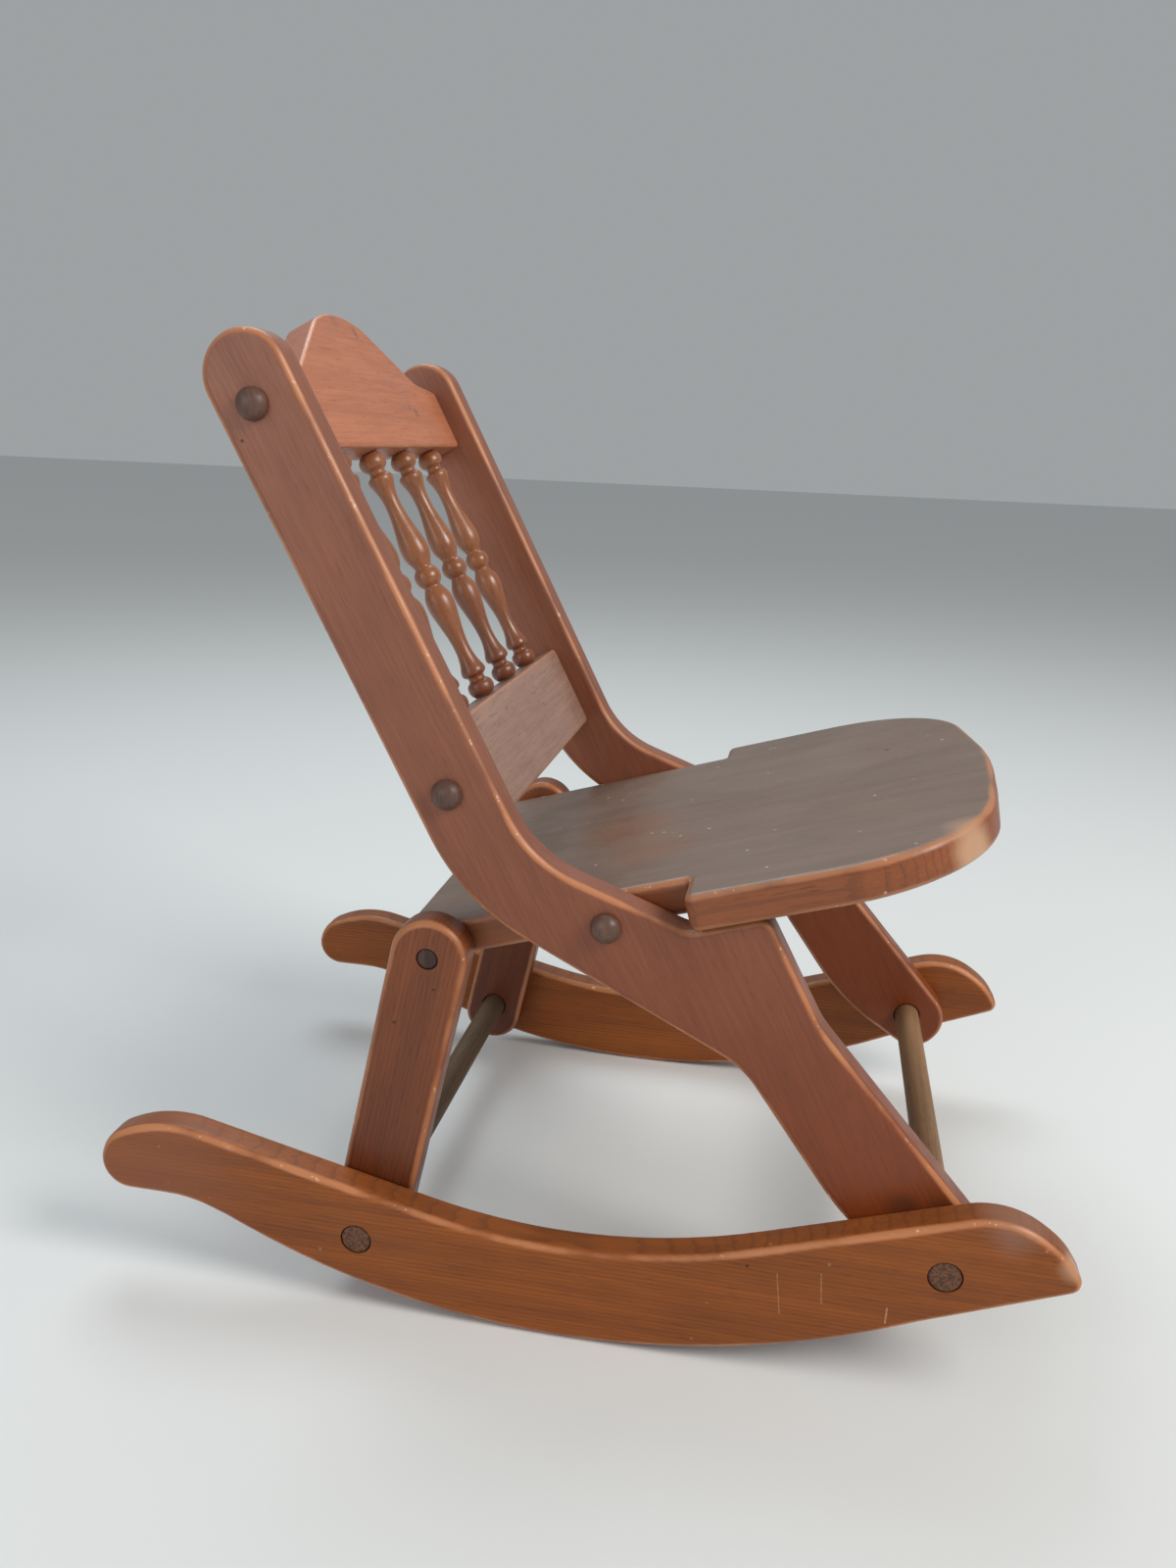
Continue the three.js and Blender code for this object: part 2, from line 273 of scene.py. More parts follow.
def drill(piece, tools):
    """Cuts closed tool objects out of a piece, then removes them."""
    for tool in tools:
        cutter = piece.modifiers.new("hole", "BOOLEAN")
        cutter.operation = "DIFFERENCE"
        cutter.solver = "EXACT"
        cutter.object = tool
    bake_modifiers(piece)
    for tool in tools:
        bpy.data.objects.remove(tool)


def smooth(piece):
    """Soft shading that keeps flat faces flat and square corners sharp."""
    for polygon in piece.data.polygons:
        polygon.use_smooth = True
    piece.data.set_sharp_from_angle(angle=math.radians(50))
    weighted = piece.modifiers.new("normals", "WEIGHTED_NORMAL")
    weighted.keep_sharp = True
    weighted.weight = 90
    bake_modifiers(piece)


def edge_mark(piece, depth_of, ease):
    """Stores how near each vertex is to the middle of a rounded-over edge, from 0 to 1."""
    mark = piece.data.attributes.new("edge", "FLOAT", "POINT")
    values = np.zeros(len(piece.data.vertices), np.float32)
    for i, vertex in enumerate(piece.data.vertices):
        depth = depth_of(vertex.co)
        from_face = min(max(min(depth, BOARD - depth) / ease, 0), 1)
        values[i] = math.sin(2 * math.acos(1 - from_face))
    mark.data.foreach_set("value", values)


def board(name, corners, place, ease, centred=False, tools=()):
    """A board from its outline, with quarter-round edges that wear has made slightly uneven."""
    steps, wear = 6, 0.1
    outline = spaced(rounded(corners))
    ahead = np.roll(outline, -1, axis=0)
    if np.sum(outline[:, 0] * ahead[:, 1] - outline[:, 1] * ahead[:, 0]) < 0:
        outline = outline[::-1]
    angles = [k * math.pi / 2 / steps for k in range(steps + 1)]
    near = [(ease * (1 - math.sin(a)), ease * (1 - math.cos(a))) for a in angles]
    rings = near + [(move, BOARD - depth) for move, depth in reversed(near)]
    low = -BOARD / 2 if centred else 0
    vertices = []
    for move, depth in rings:
        for a, b in inset(outline, move):
            vertices.append(Vector((a, b, low + depth)))
    count = len(outline)
    faces = [tuple(reversed(range(count)))]
    for r in range(len(rings) - 1):
        for i in range(count):
            j = (i + 1) % count
            faces.append((r * count + i, r * count + j, (r + 1) * count + j, (r + 1) * count + i))
    faces.append(tuple(range((len(rings) - 1) * count, len(rings) * count)))
    for k in range(count, len(vertices) - count):
        spot = vertices[k]
        rough = noise.noise(spot * 0.11) + 0.6 * noise.noise(spot * 0.37)
        pull = Vector((0, 0, low + BOARD / 2 - spot.z)).normalized()
        vertices[k] = spot + pull * max(rough, 0) * wear
    piece = new_object(name, vertices, faces)
    piece.data.transform(place)
    if place.determinant() < 0:
        piece.data.flip_normals()
    if tools:
        drill(piece, tools)
    inverse = place.inverted()
    edge_mark(piece, lambda co: (inverse @ co).z - low, ease)
    smooth(piece)
    return piece


def soften(profile):
    """Cuts the corners of a profile three times, which turns them into smooth curves."""
    for _ in range(3):
        cut = [profile[0]]
        for (a, p), (b, q) in zip(profile, profile[1:]):
            cut.append((a * 0.75 + b * 0.25, p * 0.75 + q * 0.25))
            cut.append((a * 0.25 + b * 0.75, p * 0.25 + q * 0.75))
        cut.append(profile[-1])
        profile = cut
    return profile


def turned(name, profile, place, unevenness=0.0):
    """A turned piece from (along, radius) pairs in millimetres, along the place's third axis."""
    around = 48
    vertices = [Vector((0, 0, profile[0][0]))]
    for along, radius in profile:
        for k in range(around):
            turn = 2 * math.pi * k / around
            out = Vector((math.cos(turn), math.sin(turn), 0))
            spot = out * radius + Vector((0, 0, along))
            dent = noise.noise(spot * 0.9 + Vector((len(name), along, 0))) * unevenness
            vertices.append(spot - out * max(dent, 0))
    vertices.append(Vector((0, 0, profile[-1][0])))
    last = len(vertices) - 1
    faces = []
    for k in range(around):
        j = (k + 1) % around
        faces.append((0, 1 + j, 1 + k))
        faces.append((last, last - around + k, last - around + j))
        for r in range(len(profile) - 1):
            low, high = 1 + r * around, 1 + (r + 1) * around
            faces.append((low + k, low + j, high + j, high + k))
    piece = new_object(name, vertices, faces)
    piece.data.transform(place)
    if place.determinant() < 0:
        piece.data.flip_normals()
    return piece


def hole(radius, start, end, place, side):
    """A cutter from start to end along X, outwards from the middle, at a place in side view."""
    return turned("hole", [(start, radius), (end, radius)], across(*place, side))


# ---------------------------------------------------------------- materials
class Shader:
    """A material's node tree, with short ways of adding nodes to it."""

    def __init__(self, name):
        self.material = bpy.data.materials.new(name)
        self.material.use_nodes = True
        self.tree = self.material.node_tree
        self.surface = self.tree.nodes["Principled BSDF"]

    def feed(self, socket, value):
        if isinstance(value, bpy.types.NodeSocket):
            self.tree.links.new(value, socket)
        elif isinstance(value, (tuple, list)) and len(value) == 3 and socket.type == "RGBA":
            socket.default_value = (*value, 1)
        else:
            socket.default_value = value

    def add(self, kind, inputs=(), **settings):
        node = self.tree.nodes.new("ShaderNode" + kind)
        for key, value in settings.items():
            setattr(node, key, value)
        for key, value in dict(inputs).items():
            self.feed(node.inputs[key], value)
        return node

    def math(self, operation, a, b=0.0, clamp=False):
        node = self.add("Math", {0: a, 1: b}, operation=operation, use_clamp=clamp)
        return node.outputs[0]

    def mix(self, factor, a, b, blend="MIX"):
        node = self.add("Mix", data_type="RGBA", blend_type=blend)
        self.feed(node.inputs["Factor"], factor)
        self.feed([s for s in node.inputs if s.name == "A" and s.type == "RGBA"][0], a)
        self.feed([s for s in node.inputs if s.name == "B" and s.type == "RGBA"][0], b)
        return [s for s in node.outputs if s.type == "RGBA"][0]

    def between(self, value, low, high, start=0.0, end=1.0):
        """start where value is at low, end where it is at high, and smooth between them."""
        node = self.add("MapRange", {"Value": value, "From Min": low, "From Max": high,
                                     "To Min": start, "To Max": end}, interpolation_type="SMOOTHSTEP")
        return node.outputs["Result"]

    def share(self, value, low, high, most):
        """0 where value is at low, most where it is at high, and smooth between them."""
        return self.math("MULTIPLY", self.between(value, low, high), most)

    def noise(self, where, scale=1.0, detail=3.0, roughness=0.5, distortion=0.0):
        node = self.add("TexNoise", {"Vector": where, "Scale": scale, "Detail": detail,
                                     "Roughness": roughness, "Distortion": distortion})
        return node.outputs["Fac"]

    def dot(self, vector, axis):
        return self.add("VectorMath", {0: vector, 1: axis}, operation="DOT_PRODUCT").outputs["Value"]

    def position(self):
        return self.add("TexCoord").outputs["Object"]

    def normal(self):
        return self.add("TexCoord").outputs["Normal"]

    def along_grain(self, grain, flat, stretch, density):
        """Coordinates stretched along the grain, with a density of streaks across it."""
        grain, flat = Vector(grain).normalized(), Vector(flat).normalized()
        side = grain.cross(flat)
        spot = self.position()
        parts = {
            "X": self.math("MULTIPLY", self.dot(spot, tuple(grain)), density / stretch),
            "Y": self.math("MULTIPLY", self.dot(spot, tuple(side)), density),
            "Z": self.math("MULTIPLY", self.dot(spot, tuple(flat)), density),
        }
        return self.add("CombineXYZ", parts).outputs["Vector"]

    def near_line(self, start, end, width):
        """1 on a thin line between two places, 0 away from it."""
        start, end = Vector(start), Vector(end)
        way = end - start
        gone = self.add("VectorMath", {0: self.position(), 1: tuple(start)}, operation="SUBTRACT")
        share = self.math("DIVIDE", self.dot(gone.outputs[0], tuple(way)), way.length_squared, clamp=True)
        reach = self.add("VectorMath", {0: tuple(way), "Scale": share}, operation="SCALE")
        left = self.add("VectorMath", {0: gone.outputs[0], 1: reach.outputs[0]}, operation="DISTANCE")
        return self.between(left.outputs["Value"], width * 0.4, width, 1, 0)


def linear(red, green, blue):
    """An sRGB colour from 0 to 255, as the linear values that shaders use."""
    def one(value):
        value /= 255
        return value / 12.92 if value <= 0.04045 else ((value + 0.055) / 1.055) ** 2.4
    return one(red), one(green), one(blue)


def grain_tone(shader, grain, flat, streaks):
    """How pale the stain lies, from 0 to 1, with the noises that it comes from."""
    broad = shader.noise(shader.along_grain(grain, flat, 14, 90), detail=4, roughness=0.55)
    fine = shader.noise(shader.along_grain(grain, flat, 22, 620), detail=3, roughness=0.6)
    patches = shader.noise(shader.position(), 11, detail=2, distortion=0.6)
    tone = shader.math("ADD", shader.share(broad, 0.3, 0.7, streaks),
                       shader.share(fine, 0.3, 0.7, 0.55 - streaks / 2))
    patch_share = shader.between(patches, 0.3, 0.7, 0, 0.45 - streaks / 2)
    return shader.math("ADD", tone, patch_share, clamp=True), broad, fine, patches


def ring_lines(shader, grain, flat):
    """Thin dark lines of the year rings, where a flat-sawn face cuts through them."""
    bands = shader.add("TexWave", {"Vector": shader.along_grain(grain, flat, 30, 130), "Scale": 1.0,
                                   "Distortion": 2.5, "Detail": 2.0, "Detail Scale": 1.2},
                       bands_direction="Y", wave_profile="SAW")
    return shader.between(bands.outputs["Fac"], 0.62, 1.0)


def darker(colour, factor):
    return tuple(channel * factor for channel in colour)


def ragged_spot(shader, place, size, strength):
    """A blot round a place in millimetres, with an uneven outline."""
    place, size = Vector(place) * MM, size * MM
    away = shader.add("VectorMath", {0: shader.position(), 1: tuple(place)}, operation="DISTANCE")
    uneven = shader.math("MULTIPLY", shader.noise(shader.position(), 0.25 / size, detail=3), size)
    ragged = shader.math("ADD", away.outputs["Value"], uneven)
    return shader.between(ragged, size * 0.8, size * 1.6, strength, 0)


DARK = linear(52, 32, 24)
# grey for faces that look up: a dusty grey together with painted sheen, the grey light that such faces
# reflect
DUST_AND_SHEEN = linear(132, 122, 116)
WORN = linear(196, 128, 84)
CHIPPED = linear(226, 190, 160)
SPECKS = linear(205, 190, 172)
SCRATCHED = linear(206, 160, 116)
RUBBED = linear(190, 150, 118)
SCUFF = linear(100, 82, 78)
# painted reflection: a reddish tint laid in patches on the seat top
PAINTED_REFLECTION_RED = linear(138, 88, 60)


def wear_edges(shader, colour, rough, wear):
    """Rubbed and chipped edges over a colour and a roughness, and where the chips are."""
    spot = shader.position()
    edge = shader.add("Attribute", attribute_name="edge").outputs["Fac"]
    rubbed = shader.math("MULTIPLY", edge, shader.noise(spot, 26, detail=4))
    colour = shader.mix(shader.between(rubbed, 0.2, 0.55, 0, wear), colour, WORN)
    chipped = shader.math("MULTIPLY", edge, shader.noise(spot, 160, detail=4, roughness=0.65))
    chips = shader.between(chipped, 0.57, 0.66, 0, wear)
    colour = shader.mix(chips, colour, CHIPPED)
    rough = shader.math("ADD", rough, shader.math("MULTIPLY", chips, 0.25), clamp=True)
    return colour, rough, chips


def add_specks(shader, colour, strength):
    """Small pale dots, in groups."""
    spot = shader.position()
    dots = shader.add("TexVoronoi", {"Vector": spot, "Scale": 95.0}).outputs["Distance"]
    few = shader.between(shader.noise(spot, 40, detail=1), 0.56, 0.6)
    shown = shader.math("MULTIPLY", shader.between(dots, 0.05, 0.11, strength, 0), few)
    return shader.mix(shown, colour, SPECKS)


def add_scratch(shader, colour, start, end, width, strength):
    """A broken pale line between two places in millimetres."""
    line = shader.near_line(Vector(start) * MM, Vector(end) * MM, width * MM)
    gaps = shader.between(shader.noise(shader.position(), 420), 0.35, 0.6, 0.2, strength)
    return shader.mix(shader.math("MULTIPLY", line, gaps), colour, SCRATCHED)


def wood(name, pale, deep, grain, flat=ACROSS, streaks=0.5, rings=0.0, gloss=0.42, coat=0.1, wear=0.5,
         pores=0.45, dust_and_sheen=0.0, specks=0.0, low=None, edge_face=None, scratches=(), blots=(), end_grain=None):
    """Stained wood: streaks and pores along the grain, worn edges, marks and blots (some blots are painted
    shade, some painted reflection), a dusty grey with painted sheen on what faces up.

    low is (lower height, upper height, colour factor at the lower one), heights in millimetres.
    edge_face is the colour of faces across the flat one. end_grain is (outermost X, colour).
    A blot is (place, size, strength, colour), a scratch (start, end, width, strength).
    """
    shader = Shader(name)
    spot = shader.position()
    tone, broad, fine, patches = grain_tone(shader, grain, flat, streaks)
    colour = shader.mix(tone, deep, pale)
    if edge_face:
        facing = shader.math("ABSOLUTE", shader.dot(shader.normal(), flat))
        shaded = shader.mix(tone, darker(edge_face, 0.6), edge_face)
        colour = shader.mix(shader.between(facing, 0.45, 0.9), shaded, colour)
    if rings:
        lines = shader.math("MULTIPLY", ring_lines(shader, grain, flat), rings)
        colour = shader.mix(lines, colour, darker(deep, 0.35))
    pore_noise = shader.noise(shader.along_grain(grain, flat, 16, 1500), detail=1)
    dark_pores = shader.between(pore_noise, 0.64, 0.72, 0, pores)
    colour = shader.mix(dark_pores, colour, darker(deep, 0.25))
    if low:
        bottom, top, factor = low
        share = shader.between(shader.dot(spot, UP), bottom * MM, top * MM, 1, 0)
        colour = shader.mix(share, colour, factor, "MULTIPLY")
    if end_grain:
        outermost, end_colour = end_grain
        reach = shader.math("ABSOLUTE", shader.dot(spot, ACROSS))
        at_end = shader.between(reach, (outermost - 0.9) * MM, (outermost - 0.3) * MM)
        mottled = shader.mix(shader.between(shader.noise(spot, 900, detail=2), 0.35, 0.65),
                             darker(end_colour, 0.35), end_colour)
        colour = shader.mix(at_end, colour, mottled)
    # painted sheen with dusty grey: faces that look up are greyed in patches
    if dust_and_sheen:
        dust_and_sheen_mask = shader.between(shader.dot(shader.normal(), UP), 0.45, 0.95)
        dust_and_sheen_mask = shader.math("MULTIPLY", dust_and_sheen_mask, shader.between(patches, 0.25, 0.6, 0.55, 1))
        colour = shader.mix(shader.math("MULTIPLY", dust_and_sheen_mask, dust_and_sheen), colour, DUST_AND_SHEEN)
    for place, size, strength, tint in blots:
        colour = shader.mix(ragged_spot(shader, place, size, strength), colour, tint)

    rough = shader.between(shader.noise(spot, 60, detail=3), 0.3, 0.7, gloss - 0.05, gloss + 0.08)
    colour, rough, chips = wear_edges(shader, colour, rough, wear)
    if specks:
        colour = add_specks(shader, colour, specks)
    for scratch in scratches:
        colour = add_scratch(shader, colour, *scratch)

    height = shader.math("ADD", shader.math("MULTIPLY", fine, 0.6), shader.math("MULTIPLY", broad, 0.5))
    height = shader.math("SUBTRACT", height, shader.math("MULTIPLY", dark_pores, 0.8))
    height = shader.math("SUBTRACT", height, shader.math("MULTIPLY", chips, 0.8))
    bump = shader.add("Bump", {"Height": height, "Strength": 0.35, "Distance": 0.00025})
    surface = shader.surface.inputs
    shader.feed(surface["Base Color"], colour)
    shader.feed(surface["Roughness"], rough)
    shader.feed(surface["Normal"], bump.outputs["Normal"])
    surface["Coat Weight"].default_value = coat
    surface["Coat Roughness"].default_value = 0.3
    surface["Specular IOR Level"].default_value = 0.4
    return shader.material


def steel(name):
    """Zinc plate, dull and faintly clouded."""
    shader = Shader(name)
    clouds = shader.noise(shader.position(), 700, detail=3)
    shader.feed(shader.surface.inputs["Base Color"],
                shader.mix(clouds, linear(120, 118, 112), linear(176, 175, 170)))
    shader.feed(shader.surface.inputs["Roughness"], shader.between(clouds, 0.2, 0.8, 0.3, 0.5))
    shader.surface.inputs["Metallic"].default_value = 1.0
    return shader.material


frame_wood = wood(
    "frame_wood", linear(147, 90, 65), linear(121, 71, 50), STILE_WAY, streaks=0.25, pores=0.25, dust_and_sheen=0.1,
    wear=0.7, low=(60, 330, linear(222, 166, 60)),
    # the two larger dark blots, on the front foot just above the rocker's top, are painted shade where the
    # foot meets the rocker
    blots=[((-FRAME_FACE, 161.5, 438.4), 1.0, 0.9, DARK), ((-FRAME_FACE, -168, 92), 12, 0.5, DARK),
           ((-FRAME_FACE, -186, 95), 10, 0.4, DARK)])
leg_wood = wood(
    "leg_wood", linear(138, 72, 32), linear(104, 52, 24), LEG_WAY, streaks=0.45, rings=0.3, wear=0.6,
    low=(40, 200, linear(205, 190, 180)),
    blots=[((-FRAME_FACE, 91.2, 157.5), 1.3, 1.0, DARK), ((-FRAME_FACE, 70.6, 178), 1.3, 1.0, DARK)])
rocker_wood = wood(
    "rocker_wood", linear(154, 80, 10), linear(116, 56, 5), (0, 1, 0), streaks=0.5, rings=0.35, wear=0.8,
    dust_and_sheen=0.08, specks=0.2, coat=0.04, pores=0.35,
    scratches=[((-ROCKER_FACE, -109.9, 58.2), (-ROCKER_FACE, -112.7, 36.1), 0.35, 0.4),
               ((-ROCKER_FACE, -130.8, 62), (-ROCKER_FACE, -132.2, 45.4), 0.35, 0.45),
               ((-ROCKER_FACE, -163.1, 39.9), (-ROCKER_FACE, -163.2, 48.4), 0.6, 0.7)],
    blots=[((-ROCKER_FACE, -95.1, 60.1), 1.2, 1.0, DARK), ((3 - ROCKER_FACE, -245, 84), 9, 0.6, RUBBED),
           ((8 - ROCKER_FACE, -216, 104), 20, 0.55, linear(146, 108, 90)),
           ((2 - ROCKER_FACE, 248.6, 66), 2.5, 0.8, RUBBED),
           ((-ROCKER_FACE, 225, 72), 75, 0.5, linear(136, 80, 52))])
# The seat's flat faces are a greyer brown than its orange edge faces: partly the board's own colour, partly
# painted sheen on the top.
seat_wood = wood(
    "seat_wood", linear(130, 100, 80), linear(100, 76, 62), SEAT_WAY, SEAT_NORMAL, streaks=0.45, rings=0.3,
    dust_and_sheen=0.3, specks=0.8, wear=0.55, edge_face=linear(146, 80, 42),
    # the two large reddish blots on the seat top are painted reflection
    blots=[((-10, -10, 230), 34, 0.4, PAINTED_REFLECTION_RED), ((-62, -26, 236), 34, 0.4, PAINTED_REFLECTION_RED),
           ((-116, -180, 270), 17, 0.85, RUBBED), ((-90, -190, 272), 12, 0.35, linear(126, 80, 76)),
           ((52.7, -150.4, 273.3), 2.2, 0.9, DARK), ((61, -141, 270.5), 1.5, 0.8, DARK)])
crest_wood = wood(
    "crest_wood", linear(188, 118, 86), linear(156, 92, 64), ACROSS, BACK_NORMAL, streaks=0.3, wear=0.35,
    pores=0.3,
    blots=[((62, 147, 456), 4, 0.55, SCUFF), ((54, 148, 459), 3, 0.5, SCUFF), ((18, 168, 497), 4, 0.5, SCUFF),
           ((-8, 170, 502), 6, 0.3, SCUFF)])
rail_wood = wood("rail_wood", linear(164, 128, 112), linear(130, 99, 85), ACROSS, BACK_NORMAL, streaks=0.3)
spindle_wood = wood(
    "spindle_wood", linear(156, 96, 58), linear(112, 64, 38), STILE_WAY, streaks=0.4, gloss=0.32, coat=0.4,
    low=(285, 370, linear(200, 170, 160)))
dowel_end = (ROCKER_FACE, linear(114, 74, 50))
front_dowel_wood = wood(
    "front_dowel_wood", linear(150, 114, 80), linear(114, 83, 57), ACROSS, UP, streaks=0.4, gloss=0.55,
    coat=0.0, end_grain=dowel_end)
# painted shade: the rear dowel has the front dowel's wood, darkened because it lies in shade
rear_dowel_wood = wood(
    "rear_dowel_wood", linear(104, 80, 56), linear(66, 50, 37), ACROSS, UP, streaks=0.4, gloss=0.6, coat=0.0,
    end_grain=dowel_end)
button_wood = wood("button_wood", linear(106, 75, 62), linear(72, 50, 41), UP, streaks=0.3, gloss=0.45)
plug_wood = wood("plug_wood", linear(94, 64, 55), linear(50, 35, 30), UP, streaks=0.6, gloss=0.7, coat=0.0)
zinc = steel("zinc")


# ---------------------------------------------------------------- pieces
def finish_piece(piece, material, body, slot, *nodes):
    piece.data.materials.clear()
    piece.data.materials.append(material)
    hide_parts(*nodes)
    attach(piece, body)


for side_name, side in SIDES.items():
    holes = [hole(DOWEL_RADIUS + GLUED_ROOM, ROCKER_INNER - PAST, ROCKER_FACE + PAST, place, side)
             for place in (REAR_DOWEL, FRONT_DOWEL)]
    rocker = board(f"rocker_{side_name}_wood", rocker_outline(), side_view(left_face(ROCKER_INNER, side)),
                   ROCKER_EASE, tools=holes)
    finish_piece(rocker, rocker_wood, "rockers", "rocker", f"rocker_{side_name}")

    holes = [hole(DOWEL_RADIUS + TURNING_ROOM, FRAME_INNER - PAST, FRAME_FACE + PAST, FRONT_DOWEL, side)]
    frame_side = board(f"side_frame_{side_name}_wood", frame_outline(),
                       side_view(left_face(FRAME_INNER, side)), FRAME_EASE, tools=holes)
    finish_piece(frame_side, frame_wood, "side_frames", "board", f"side_frame_{side_name}")

    holes = [hole(DOWEL_RADIUS + TURNING_ROOM, FRAME_INNER - PAST, FRAME_FACE + PAST, REAR_DOWEL, side),
             hole(PLUG_RADIUS + PLUG_ROOM, FRAME_FACE - PLUG_HOLE_DEPTH, FRAME_FACE + PAST, REAR_PIVOT, side)]
    leg = board(f"rear_leg_{side_name}_wood", rear_leg_outline(), side_view(left_face(FRAME_INNER, side)),
                LEG_EASE, tools=holes)
    finish_piece(leg, leg_wood, "rear_legs", "board", f"rear_leg_{side_name}")

seat = board("seat_board_wood", seat_outline(), SEAT_VIEW @ Matrix.Translation((0, 0, -SEAT_LIFT)),
             SEAT_EASE, centred=True)
finish_piece(seat, seat_wood, "seat", "seat", "seat_board")

RAIL_PLACE = BACK_VIEW @ Matrix.Translation((0, 0, RAIL_CENTRE))
crest = board("crest_rail_wood", crest_outline(), RAIL_PLACE, RAIL_EASE, centred=True)
finish_piece(crest, crest_wood, "side_frames", "rail", "crest_rail")
lower = board("lower_back_rail_wood", lower_rail_outline(), RAIL_PLACE, RAIL_EASE, centred=True)
finish_piece(lower, rail_wood, "side_frames", "rail", "lower_back_rail")


def dowel_profile():
    cut_along, cut_across = DOWEL_CHAMFER
    ends = [(ROCKER_FACE - cut_along, DOWEL_RADIUS), (ROCKER_FACE, DOWEL_RADIUS - cut_across)]
    between = [(x, DOWEL_RADIUS) for x in range(-150, 151, 10)]
    return [(-x, radius) for x, radius in reversed(ends)] + between + ends


for name, place, material in (("rear_dowel", REAR_DOWEL, rear_dowel_wood),
                              ("front_dowel", FRONT_DOWEL, front_dowel_wood)):
    dowel = turned(f"{name}_wood", dowel_profile(), across(*place), unevenness=0.15)
    smooth(dowel)
    finish_piece(dowel, material, "rockers", "dowel", name)

# half a spindle: distance from its middle and radius, from its middle bead to the rail
SPINDLE_HALF = [(0, 7.5), (2.2, 7.1), (4.2, 6.0), (5.6, 4.6), (7.5, 5.4), (12, 7.6), (18, 7.9), (26, 6.4),
                (36, 4.6), (45, 4.2), (52, 5.4), (56.5, 7.2), (59, 6.8), (60.0, 4.6), (62.5, 4.4), (64, 6.8),
                (66.5, 7.6), (69.5, 7.2), (71.8, 5.2)]
spindle_profile = soften([(-along, radius) for along, radius in reversed(SPINDLE_HALF[1:])] + SPINDLE_HALF)
spindle_middle = (LOWER_RAIL[1] + CREST_BOTTOM) / 2
for i in range(SPINDLES):
    x = (i - (SPINDLES - 1) / 2) * SPINDLE_PITCH
    place = basis(ACROSS, [-value for value in BACK_NORMAL], STILE_WAY,
                  BACK_VIEW @ Vector((x, spindle_middle, RAIL_CENTRE)))
    spindle = turned(f"spindle_{i + 1}_wood", spindle_profile, place)
    smooth(spindle)
    finish_piece(spindle, spindle_wood, "side_frames", "turned", f"spindle_{i + 1}")


def button_profile():
    """A dome on a thin rim, just clear of the board's face, with a stub that goes into the board."""
    stub_radius, stub_depth, clear, rim, dome = 5.6, 2, 0.2, 0.7, 6.4
    profile = [(FRAME_FACE - stub_depth, stub_radius), (FRAME_FACE + clear, stub_radius),
               (FRAME_FACE + clear, BUTTON_RADIUS - 0.3), (FRAME_FACE + rim, BUTTON_RADIUS)]
    for angle in range(10, 90, 10):
        turn = math.radians(angle)
        profile.append((FRAME_FACE + rim + dome * math.sin(turn), BUTTON_RADIUS * math.cos(turn)))
    return profile + [(FRAME_FACE + rim + dome, 0.4)]


def plug_profile():
    """A plug whose face lies just under the board's, with a worn edge."""
    depths = [(4.6, 0), (1.0, 0), (0.4, 0.5), (0.3, 1.5)]
    return [(FRAME_FACE - depth, PLUG_RADIUS - worn) for depth, worn in depths]


BUTTONS = {"crest": on_back(RAIL_CENTRE, CREST_SCREW), "lower_rail": on_back(RAIL_CENTRE, LOWER_SCREW),
           "seat_pivot": SEAT_PIVOT}
for side_name, side in SIDES.items():
    for where, place in BUTTONS.items():
        button = turned(f"{where}_button_{side_name}_wood", button_profile(), across(*place, side),
                        unevenness=0.2)
        smooth(button)
        finish_piece(button, button_wood, "side_frames", "button", f"{where}_button_{side_name}")
    plug = turned(f"rear_pivot_plug_{side_name}_wood", plug_profile(), across(*REAR_PIVOT, side),
                  unevenness=0.4)
    smooth(plug)
    finish_piece(plug, plug_wood, "rear_legs", "button", f"rear_pivot_plug_{side_name}")

for name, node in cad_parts.items():
    if "_screw_" in name:
        node.data.materials.clear()
        node.data.materials.append(zinc)


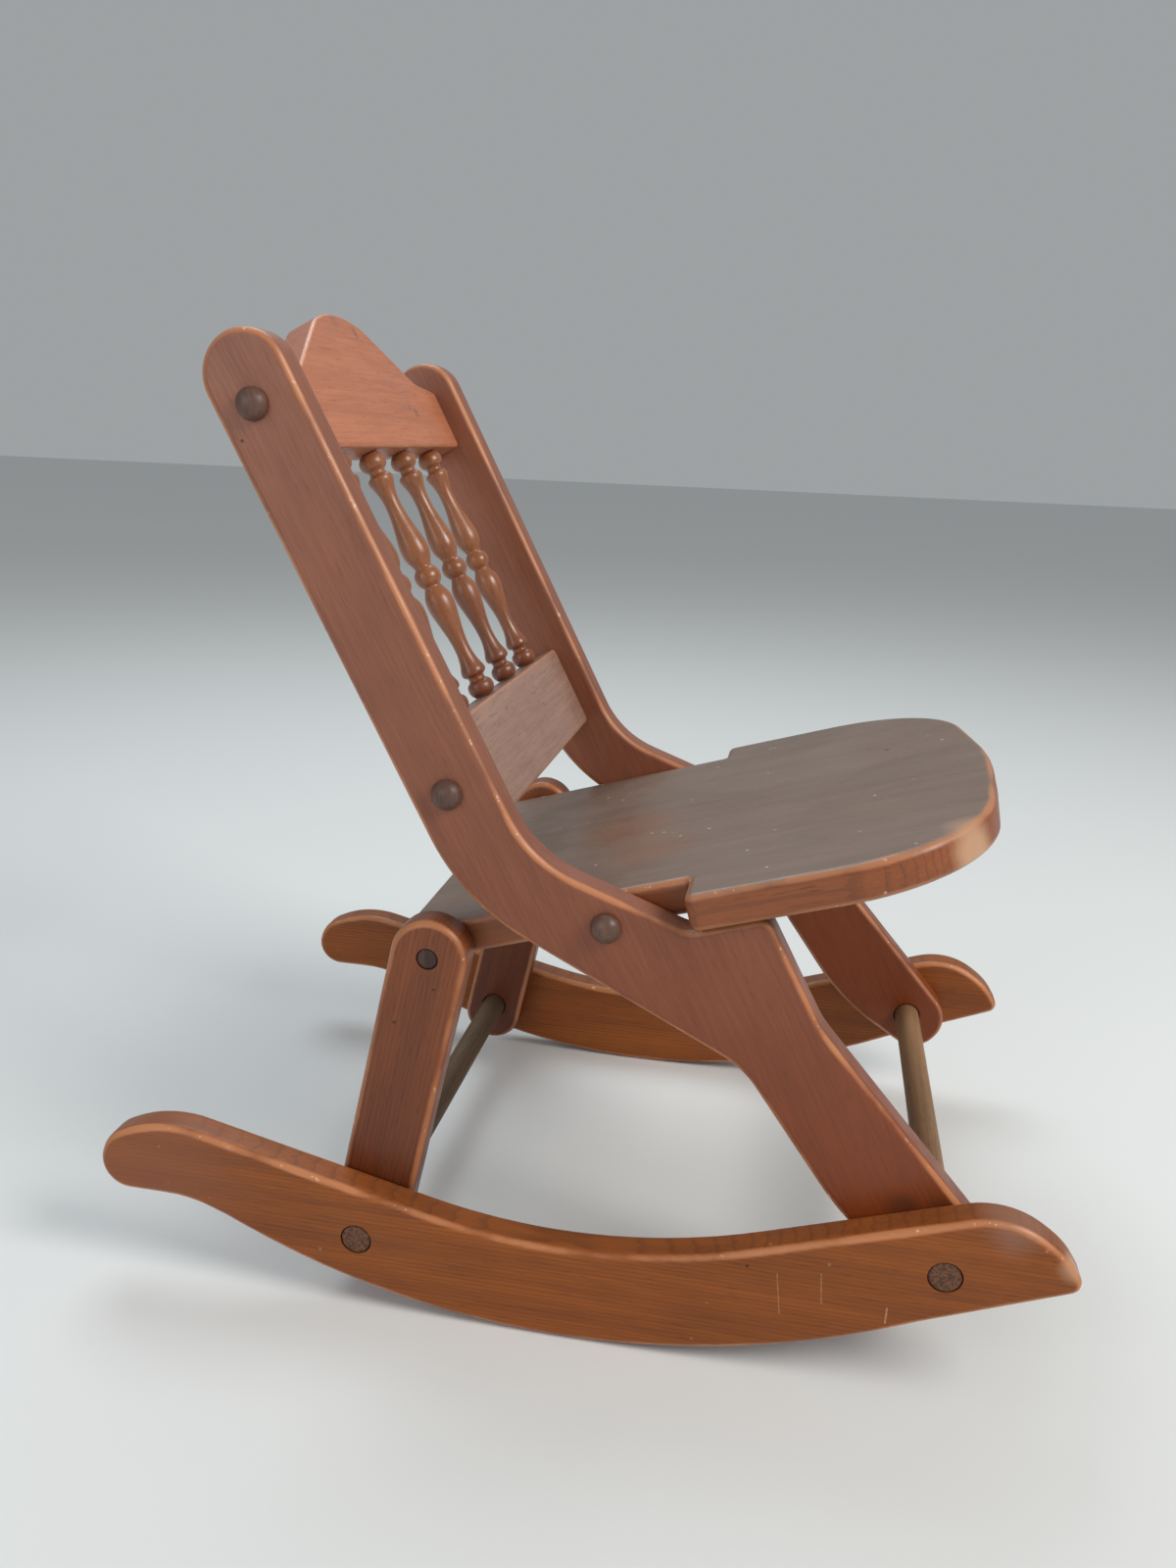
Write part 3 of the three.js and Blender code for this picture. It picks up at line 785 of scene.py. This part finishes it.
# ---------------------------------------------------------------- floor, light and camera
def add_stage():
    half = 12
    floor = new_object("floor", [(-half, -half, 0), (half, -half, 0), (half, half, 0), (-half, half, 0)],
                       [(0, 1, 2, 3)])
    shader = Shader("floor_paper")
    shader.feed(shader.surface.inputs["Base Color"], linear(222, 224, 224))
    shader.surface.inputs["Roughness"].default_value = 0.85
    floor.data.materials.append(shader.material)


def add_light(name, place, target, size, power, colour=(1, 1, 1)):
    lamp = bpy.data.lights.new(name, "AREA")
    lamp.shape = "DISK"
    lamp.size = size
    lamp.energy = power
    lamp.color = colour
    light = bpy.data.objects.new(name, lamp)
    light.location = place
    light.rotation_euler = (Vector(target) - Vector(place)).to_track_quat("-Z", "Y").to_euler()
    bpy.context.scene.collection.objects.link(light)


def add_world():
    world = bpy.data.worlds.new("studio")
    world.use_nodes = True
    background = world.node_tree.nodes["Background"]
    background.inputs["Color"].default_value = (0.86, 0.9, 0.92, 1)
    background.inputs["Strength"].default_value = 0.4
    bpy.context.scene.world = world


def add_camera():
    """The photo's view: from the sitter's right and above the seat, looking along +X and a little down."""
    yaw, pitch, roll = math.radians(9.91), math.radians(15.89), math.radians(2.26)
    lens = bpy.data.cameras.new("camera")
    lens.sensor_fit = "VERTICAL"
    lens.sensor_height = 36
    lens.lens = 27.94
    camera = bpy.data.objects.new("camera", lens)
    camera.location = Vector((-674.7, -97.05, 446.0)) * MM
    ahead = Vector((math.cos(pitch) * math.cos(yaw), math.cos(pitch) * math.sin(yaw), -math.sin(pitch)))
    turn = ahead.to_track_quat("-Z", "Y") @ Quaternion((0, 0, 1), roll)
    camera.rotation_euler = turn.to_euler()
    bpy.context.scene.collection.objects.link(camera)
    bpy.context.scene.camera = camera


bpy.context.scene.view_settings.view_transform = "Standard"
add_stage()
add_world()
add_light("key", (-0.7, -1.7, 1.7), (0, -0.05, 0.25), 1.1, 40, (1.0, 0.96, 0.9))
add_light("fill", (-1.6, 0.9, 0.9), (0, 0, 0.2), 1.4, 9, (0.92, 0.96, 1.0))
add_light("top", (0.9, 0.5, 1.9), (0, 0, 0.25), 1.2, 14, (0.88, 0.96, 1.0))
add_camera()
